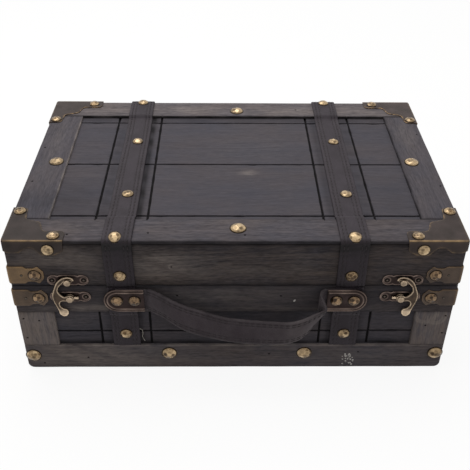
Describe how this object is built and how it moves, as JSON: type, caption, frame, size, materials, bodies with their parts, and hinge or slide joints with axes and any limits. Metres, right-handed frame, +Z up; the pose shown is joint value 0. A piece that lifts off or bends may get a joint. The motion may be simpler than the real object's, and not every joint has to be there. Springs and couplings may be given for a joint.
{
  "type": "wooden storage trunk",
  "caption": "Small hinged storage trunk of dark washed boards with leather straps, domed studs, stamped bronze corners, swing-hook latches and a front leather carrying handle.",
  "frame": {"origin": "middle of the underside of the base, on the surface that the trunk stands on", "axes": "+X to the trunk's right as seen from the front, +Y towards its back, +Z up"},
  "size_m": [0.347, 0.2538, 0.1342],
  "materials": {
    "washed_wood": "black-washed boards, matt, fine grain with lighter rubbed edges",
    "raw_wood": "dark stained, unsanded",
    "strap_leather": "dark brown, satin, stitched near both edges",
    "handle_leather": "dark brown, satin, stitched near both edges",
    "dark_bronze": "darkened stamped sheet with rubbed bright edges",
    "antique_brass": "cast, darkened, rubbed bright on the high parts",
    "hinge_bronze": "darkened stamped sheet"
  },
  "bodies": {
    "base": {"base_front_panel": "washed_wood", "base_front_top_rail": "washed_wood", "base_front_bottom_rail": "washed_wood", "base_back_panel": "washed_wood", "base_back_top_rail": "washed_wood", "base_back_bottom_rail": "washed_wood", "base_left_panel": "washed_wood", "base_left_top_rail": "washed_wood", "base_left_bottom_rail": "washed_wood", "base_right_panel": "washed_wood", "base_right_top_rail": "washed_wood", "base_right_bottom_rail": "washed_wood", "base_front_left_stile": "washed_wood", "base_front_right_stile": "washed_wood", "bottom_board": "raw_wood", "base_front_left_strap": "strap_leather", "base_front_right_strap": "strap_leather", "base_back_left_strap": "strap_leather", "base_back_right_strap": "strap_leather", "base_front_left_bracket": "dark_bronze", "base_front_right_bracket": "dark_bronze", "base_back_left_bracket": "dark_bronze", "base_back_right_bracket": "dark_bronze", "latch_left_pivot_plate": "dark_bronze", "latch_right_pivot_plate": "dark_bronze", "handle_left_plate": "dark_bronze", "handle_right_plate": "dark_bronze", "handle_left_tab": "handle_leather", "handle_right_tab": "handle_leather", "hinge_left_pin": "hinge_bronze", "hinge_right_pin": "hinge_bronze", "hinge_left_base_leaf": "hinge_bronze", "hinge_right_base_leaf": "hinge_bronze"},
    "lid": {"lid_front_board": "washed_wood", "lid_back_board": "washed_wood", "lid_left_board": "washed_wood", "lid_right_board": "washed_wood", "lid_top_panel": "washed_wood", "lid_top_front_rail": "washed_wood", "lid_top_back_rail": "washed_wood", "lid_top_left_stile": "washed_wood", "lid_top_right_stile": "washed_wood", "lid_left_strap": "strap_leather", "lid_right_strap": "strap_leather", "lid_front_left_corner_plate": "dark_bronze", "lid_front_right_corner_plate": "dark_bronze", "lid_back_left_corner_plate": "dark_bronze", "lid_back_right_corner_plate": "dark_bronze", "lid_front_left_bracket": "dark_bronze", "lid_front_right_bracket": "dark_bronze", "lid_back_left_bracket": "dark_bronze", "lid_back_right_bracket": "dark_bronze", "latch_left_catch": "dark_bronze", "latch_right_catch": "dark_bronze", "hinge_left_lid_leaf": "hinge_bronze", "hinge_right_lid_leaf": "hinge_bronze"},
    "handle": {"handle": "handle_leather"},
    "hook_left": {"hook_left": "antique_brass"},
    "hook_right": {"hook_right": "antique_brass"}
  },
  "joints": [
    {"name": "lid_hinge", "type": "hinge", "parent": "base", "child": "lid", "pos_m": [0, 0.1155, 0.0882], "axis": [-1, 0, 0], "range_deg": [0, 110]},
    {"name": "handle_swing", "type": "hinge", "parent": "base", "child": "handle", "pos_m": [0, -0.11585, 0.0872], "axis": [-1, 0, 0], "range_deg": [0, 90]},
    {"name": "hook_left_swing", "type": "hinge", "parent": "base", "child": "hook_left", "pos_m": [-0.1265, -0.1154, 0.0779], "axis": [0, -1, 0], "range_deg": [0, 70]},
    {"name": "hook_right_swing", "type": "hinge", "parent": "base", "child": "hook_right", "pos_m": [0.1265, -0.1154, 0.0779], "axis": [0, 1, 0], "range_deg": [0, 70]}
  ]
}
